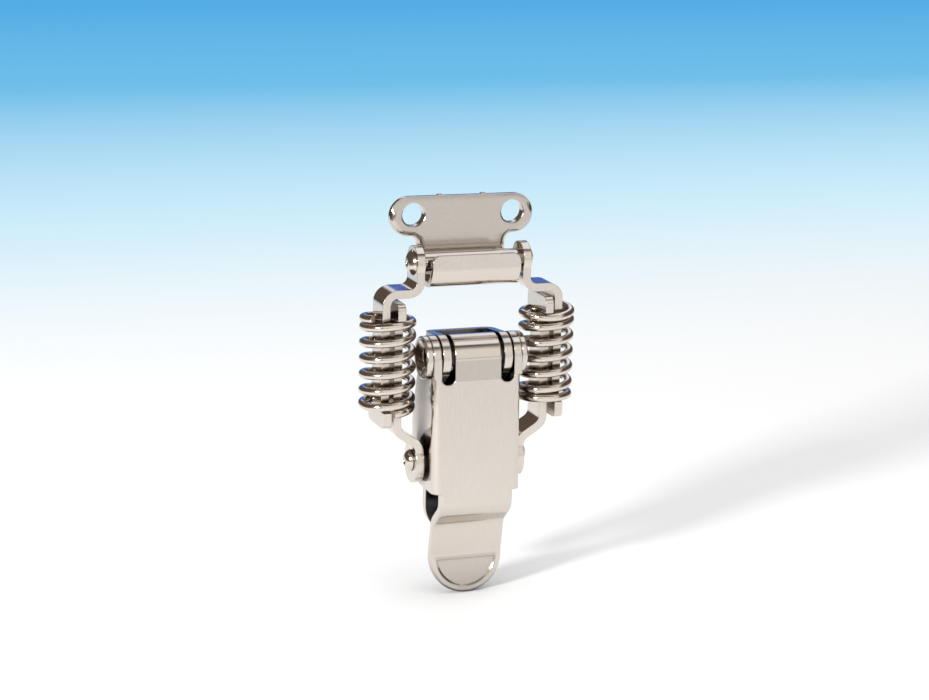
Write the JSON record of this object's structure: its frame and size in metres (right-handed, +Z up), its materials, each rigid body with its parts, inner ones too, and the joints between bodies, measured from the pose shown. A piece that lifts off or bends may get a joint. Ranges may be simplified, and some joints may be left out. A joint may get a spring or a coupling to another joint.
{
  "type": "draw latch",
  "caption": "Bright steel over-centre draw latch: folded lever on a screwed base, sprung side arms with a hook pin, and a screw-on keeper plate with a folded hook.",
  "frame": {"origin": "midway between the two base screws, on the wall plane that the base and the keeper are screwed to", "axes": "+Z up along the pull, from the base towards the keeper; +Y into the wall; +X to the right"},
  "size_m": [0.0412, 0.0127, 0.0739],
  "materials": {
    "base_plate": "bright plated sheet",
    "lever": "bright plated sheet, fine vertical grain",
    "keeper": "bright plated sheet, satin face",
    "arms": "bright plated sheet",
    "springs": "bright plated spring wire",
    "rivets": "bright plated, turned and headed",
    "pivot_rivet": "bright plated tube, rolled ends"
  },
  "bodies": {
    "base": {"base_plate": "base_plate", "pivot_rivet": "pivot_rivet"},
    "lever": {"lever": "lever", "left_arm_rivet": "rivets", "right_arm_rivet": "rivets"},
    "lower_links": {"left_lower_arm": "arms", "right_lower_arm": "arms", "left_spring": "springs", "right_spring": "springs"},
    "hook": {"left_upper_arm": "arms", "right_upper_arm": "arms", "hook_pin": "rivets", "keeper": "keeper"}
  },
  "joints": [
    {"name": "lever_turn", "type": "hinge", "parent": "base", "child": "lever", "pos_m": [0, -0.0076, 0.0194], "axis": [-1, 0, 0], "range_deg": [0, 165]},
    {"name": "link_swing", "type": "hinge", "parent": "lever", "child": "lower_links", "pos_m": [0, -0.0056, -0.0003], "axis": [-1, 0, 0], "range_deg": [-165, 0]},
    {"name": "spring_draw", "type": "slide", "parent": "lower_links", "child": "hook", "axis": [0, 0, 1], "range_m": [0, 0.003], "stiffness_N_per_m": 12000, "deforming": ["left_spring", "right_spring"]}
  ],
  "couplings": [
    {"joint": "link_swing", "follows": "lever_turn", "ratio": -1}
  ]
}
